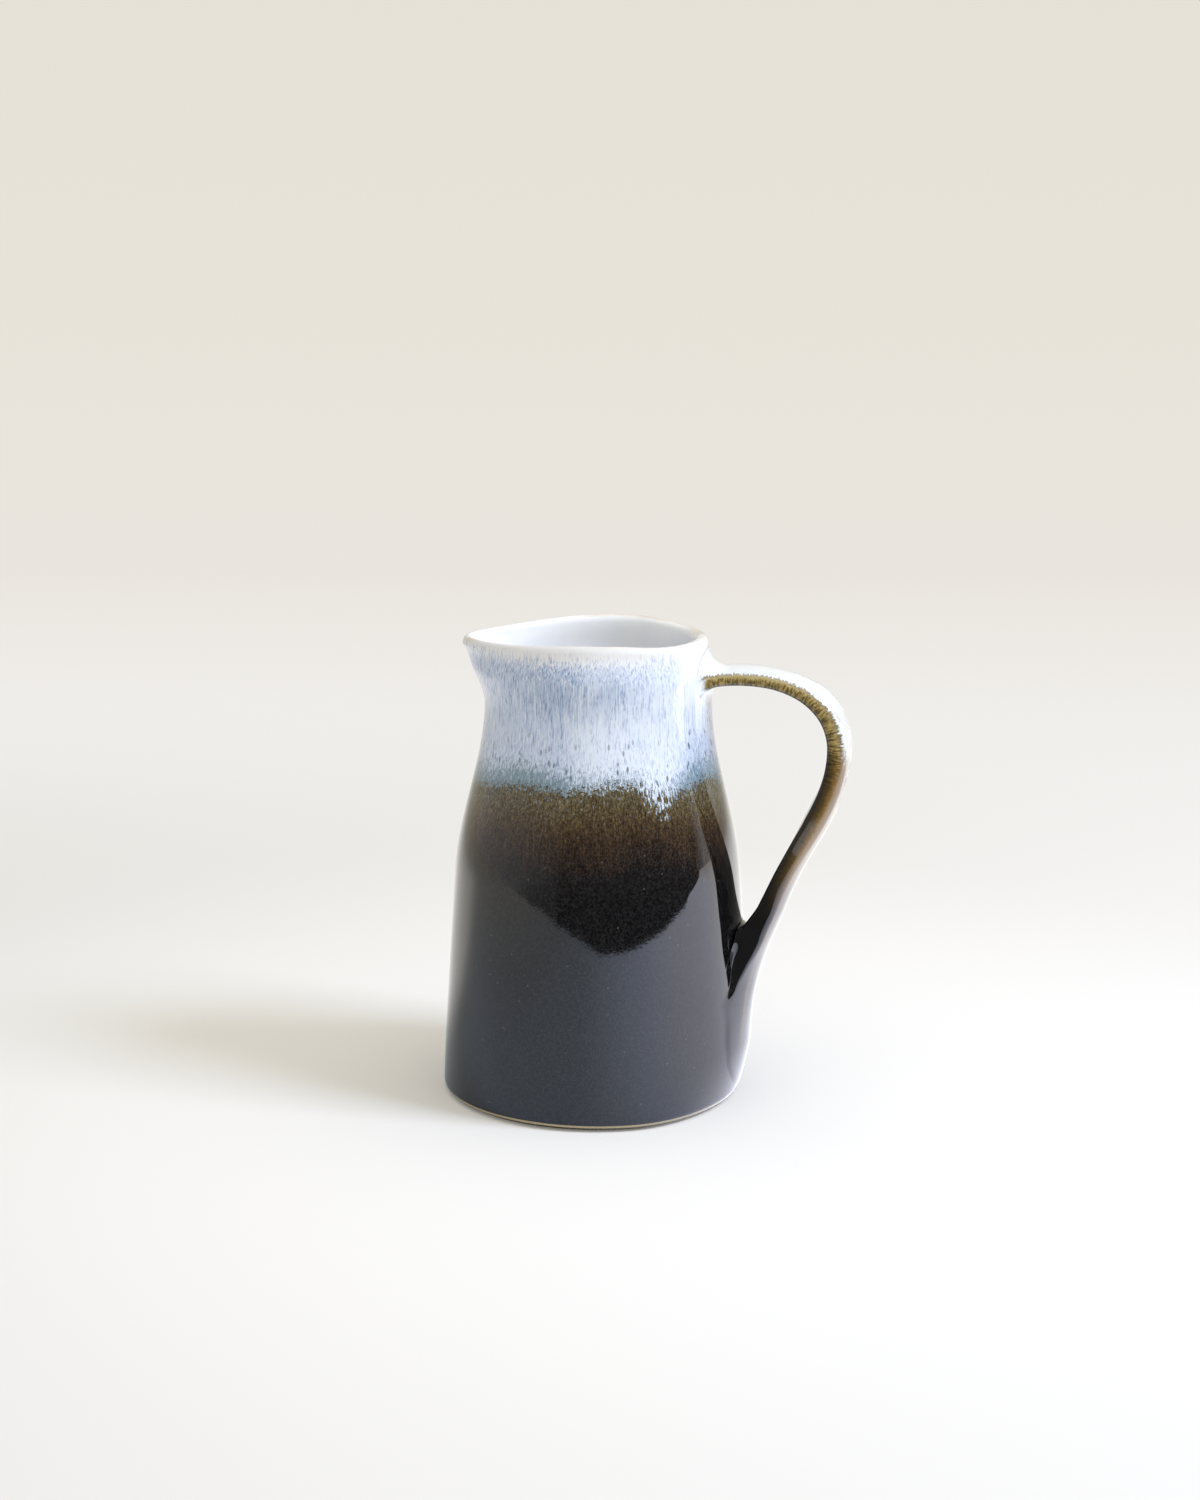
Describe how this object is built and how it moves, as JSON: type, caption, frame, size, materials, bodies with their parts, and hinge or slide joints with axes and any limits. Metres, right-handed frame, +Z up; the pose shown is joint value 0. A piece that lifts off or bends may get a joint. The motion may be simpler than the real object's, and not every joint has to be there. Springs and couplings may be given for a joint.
{
  "type": "milk jug",
  "caption": "Stoneware milk jug with a tapered round body, drawn-in neck, pulled pouring lip and strap handle, dark glazed below and pale glazed above.",
  "frame": {"origin": "centre of the foot ring, on the plane that the jug stands on", "axes": "+Z up along the jug's axis, +X from the axis towards the handle, -X towards the pouring lip, +Y across"},
  "size_m": [0.1216, 0.0926, 0.14],
  "materials": {
    "clay": "bare fired stoneware",
    "slip": "fired slip",
    "strap": "pale glaze above, dark glaze below, gloss",
    "liner": "white gloss glaze",
    "dark": "near-black gloss glaze, brown where thin",
    "pale": "streaked pale blue gloss glaze"
  },
  "bodies": {
    "root": {"stoneware_body": "clay", "handle": "strap", "upper_slip": "slip", "lower_slip": "slip", "liner_glaze": "liner", "dark_glaze": "dark", "pale_glaze": "pale", "base_glaze": "dark"}
  },
  "joints": []
}
